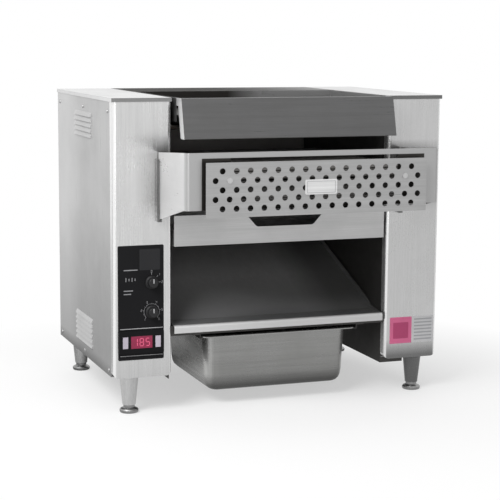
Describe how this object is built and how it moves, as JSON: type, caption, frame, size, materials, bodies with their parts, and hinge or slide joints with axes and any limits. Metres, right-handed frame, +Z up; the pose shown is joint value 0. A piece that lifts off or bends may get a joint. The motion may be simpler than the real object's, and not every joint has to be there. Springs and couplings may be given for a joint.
{
  "type": "conveyor broiler",
  "caption": "Countertop conveyor broiler: two steel towers hold a heated belt tunnel with loading guard, hood, drip tray, discharge slide and grease pan on levelling legs.",
  "frame": {"origin": "middle of the footprint on the floor, under the feet", "axes": "+X to the right as seen from the front, +Y to the back (the front faces -Y), +Z up"},
  "size_m": [0.749, 0.7102, 0.66],
  "materials": {
    "stainless": "brushed stainless sheet",
    "inner_steel": "plain stainless sheet, heat dulled",
    "hood_steel": "dark heat-tinted steel",
    "slide_steel": "dark coated sheet with a bright lip",
    "pan_steel": "drawn stainless",
    "belt_steel": "heat-tinted wire",
    "chain_steel": "oiled chain steel",
    "machined_steel": "turned steel",
    "element_sheath": "oxidised alloy sheath",
    "ceramic": "white ceramic bush",
    "bronze": "sintered bronze",
    "leg_steel": "brushed leg tube",
    "foot_steel": "turned foot",
    "gearbox_casting": "cast housing",
    "motor_paint": "dark enamel",
    "overlay_black": "black polyester overlay",
    "bezel_black": "black bezel",
    "display_red": "red filter window",
    "knob_black": "black knob",
    "key_grey": "pale key",
    "pot_metal": "pressed can",
    "board_green": "circuit board",
    "contactor_ivory": "moulded contactor",
    "terminal_beige": "moulded terminals",
    "gland_plastic": "moulded gland",
    "fan_plastic": "moulded fan",
    "screw_steel": "pan head screw"
  },
  "bodies": {
    "broiler": {"left_front_cover": "stainless", "left_side_panel": "stainless", "left_inner_wall": "inner_steel", "left_top_cover": "stainless", "left_chassis": "inner_steel", "right_front_cover": "stainless", "right_side_panel": "stainless", "right_inner_wall": "inner_steel", "right_top_cover": "stainless", "right_chassis": "inner_steel", "rear_panel": "stainless", "crossmembers": "inner_steel", "hood_shell": "hood_steel", "hood_spacers": "inner_steel", "upper_reflector": "inner_steel", "upper_elements": "element_sheath", "lower_elements": "element_sheath", "element_bushes": "ceramic", "conveyor_rails": "inner_steel", "conveyor_mounts": "inner_steel", "conveyor_belt": "belt_steel", "shaft_bearings": "bronze", "bay_runners": "inner_steel", "pan_runners": "inner_steel", "legs": "leg_steel", "gearbox": "gearbox_casting", "motor": "motor_paint", "motor_bracket": "inner_steel", "drive_chain": "chain_steel", "control_overlay": "overlay_black", "display_module": "bezel_black", "display_window": "display_red", "control_pots": "pot_metal", "control_board": "board_green", "contactors": "contactor_ivory", "terminal_block": "terminal_beige", "cable_gland": "gland_plastic", "fan_housing": "fan_plastic", "case_screws": "screw_steel"},
    "drive_shaft": {"drive_shaft": "machined_steel", "belt_sprockets": "machined_steel", "driven_sprocket": "machined_steel"},
    "idler_shaft": {"idler_shaft": "machined_steel", "idler_rollers": "machined_steel"},
    "motor_output": {"motor_sprocket": "machined_steel"},
    "grease_pan": {"grease_pan": "pan_steel"},
    "drip_tray": {"drip_tray": "stainless"},
    "discharge_slide": {"discharge_slide": "slide_steel"},
    "loading_guard": {"guard_frame": "stainless", "heat_shield": "stainless", "shield_screws": "screw_steel"},
    "mode_knob": {"mode_knob": "knob_black"},
    "speed_knob": {"speed_knob": "knob_black"},
    "key_left": {"key_left": "key_grey"},
    "key_right": {"key_right": "key_grey"},
    "fan_rotor": {"fan_rotor": "fan_plastic"},
    "foot_front_left": {"foot_front_left": "foot_steel"},
    "foot_front_right": {"foot_front_right": "foot_steel"},
    "foot_back_left": {"foot_back_left": "foot_steel"},
    "foot_back_right": {"foot_back_right": "foot_steel"}
  },
  "joints": [
    {"name": "belt_drive", "type": "hinge", "parent": "broiler", "child": "drive_shaft", "pos_m": [0, 0.1925, 0.4879], "axis": [-1, 0, 0], "continuous": true},
    {"name": "belt_idler", "type": "hinge", "parent": "broiler", "child": "idler_shaft", "pos_m": [0, -0.2873, 0.4879], "axis": [-1, 0, 0], "continuous": true},
    {"name": "motor_turn", "type": "hinge", "parent": "broiler", "child": "motor_output", "pos_m": [0.265, 0.1925, 0.3299], "axis": [-1, 0, 0], "continuous": true},
    {"name": "grease_pan_pull", "type": "slide", "parent": "broiler", "child": "grease_pan", "axis": [0, -1, 0], "range_m": [0, 0.3]},
    {"name": "drip_tray_pull", "type": "slide", "parent": "broiler", "child": "drip_tray", "axis": [0, -1, 0], "range_m": [0, 0.32]},
    {"name": "discharge_slide_pull", "type": "slide", "parent": "broiler", "child": "discharge_slide", "axis": [0, -1, 0], "range_m": [0, 0.25]},
    {"name": "guard_lift", "type": "slide", "parent": "broiler", "child": "loading_guard", "axis": [0, 0, 1], "range_m": [0, 0.2]},
    {"name": "mode_select", "type": "hinge", "parent": "broiler", "child": "mode_knob", "pos_m": [-0.2885, -0.1534, 0.28], "axis": [0, 1, 0], "range_deg": [0, 90]},
    {"name": "speed_select", "type": "hinge", "parent": "broiler", "child": "speed_knob", "pos_m": [-0.2885, -0.1534, 0.218], "axis": [0, 1, 0], "range_deg": [-135, 135]},
    {"name": "key_left_press", "type": "slide", "parent": "broiler", "child": "key_left", "axis": [0, 1, 0], "range_m": [0, 0.0012], "stiffness_N_per_m": 400, "springref_m": -0.001},
    {"name": "key_right_press", "type": "slide", "parent": "broiler", "child": "key_right", "axis": [0, 1, 0], "range_m": [0, 0.0012], "stiffness_N_per_m": 400, "springref_m": -0.001},
    {"name": "fan_spin", "type": "hinge", "parent": "broiler", "child": "fan_rotor", "pos_m": [-0.342, 0.0916, 0.146], "axis": [1, 0, 0], "continuous": true},
    {"name": "foot_front_left_level", "type": "slide", "parent": "broiler", "child": "foot_front_left", "axis": [0, 0, -1], "range_m": [0, 0.02]},
    {"name": "foot_front_right_level", "type": "slide", "parent": "broiler", "child": "foot_front_right", "axis": [0, 0, -1], "range_m": [0, 0.02]},
    {"name": "foot_back_left_level", "type": "slide", "parent": "broiler", "child": "foot_back_left", "axis": [0, 0, -1], "range_m": [0, 0.02]},
    {"name": "foot_back_right_level", "type": "slide", "parent": "broiler", "child": "foot_back_right", "axis": [0, 0, -1], "range_m": [0, 0.02]}
  ],
  "couplings": [
    {"joint": "belt_idler", "follows": "belt_drive", "ratio": 1},
    {"joint": "motor_turn", "follows": "belt_drive", "ratio": 1}
  ]
}
